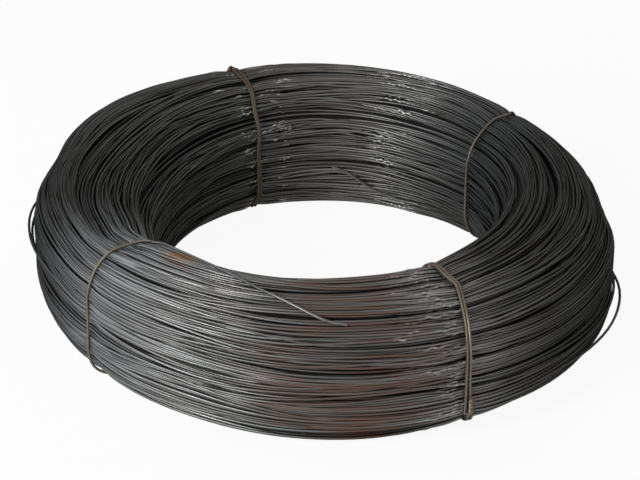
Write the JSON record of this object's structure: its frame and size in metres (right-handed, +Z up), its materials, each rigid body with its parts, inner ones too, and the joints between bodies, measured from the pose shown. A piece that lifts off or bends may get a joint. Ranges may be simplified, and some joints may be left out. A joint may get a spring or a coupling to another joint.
{
  "type": "coil of binding wire",
  "caption": "Round coil of dark annealed binding wire, lying flat, held by wire ties with twisted tails.",
  "frame": {"origin": "on the floor that the coil lies on, at the axis of the bore", "axes": "+Z up along the bore axis; +X to the right and -Y towards the viewer in the usual view"},
  "size_m": [0.39, 0.39, 0.098],
  "materials": {
    "annealed_wire": "satin",
    "tie_wire": "satin"
  },
  "bodies": {
    "root": {"wire_coil": "annealed_wire", "tie_back_right": "tie_wire", "tie_back_left": "tie_wire", "tie_front_left": "tie_wire", "tie_front_right": "tie_wire"}
  },
  "joints": []
}
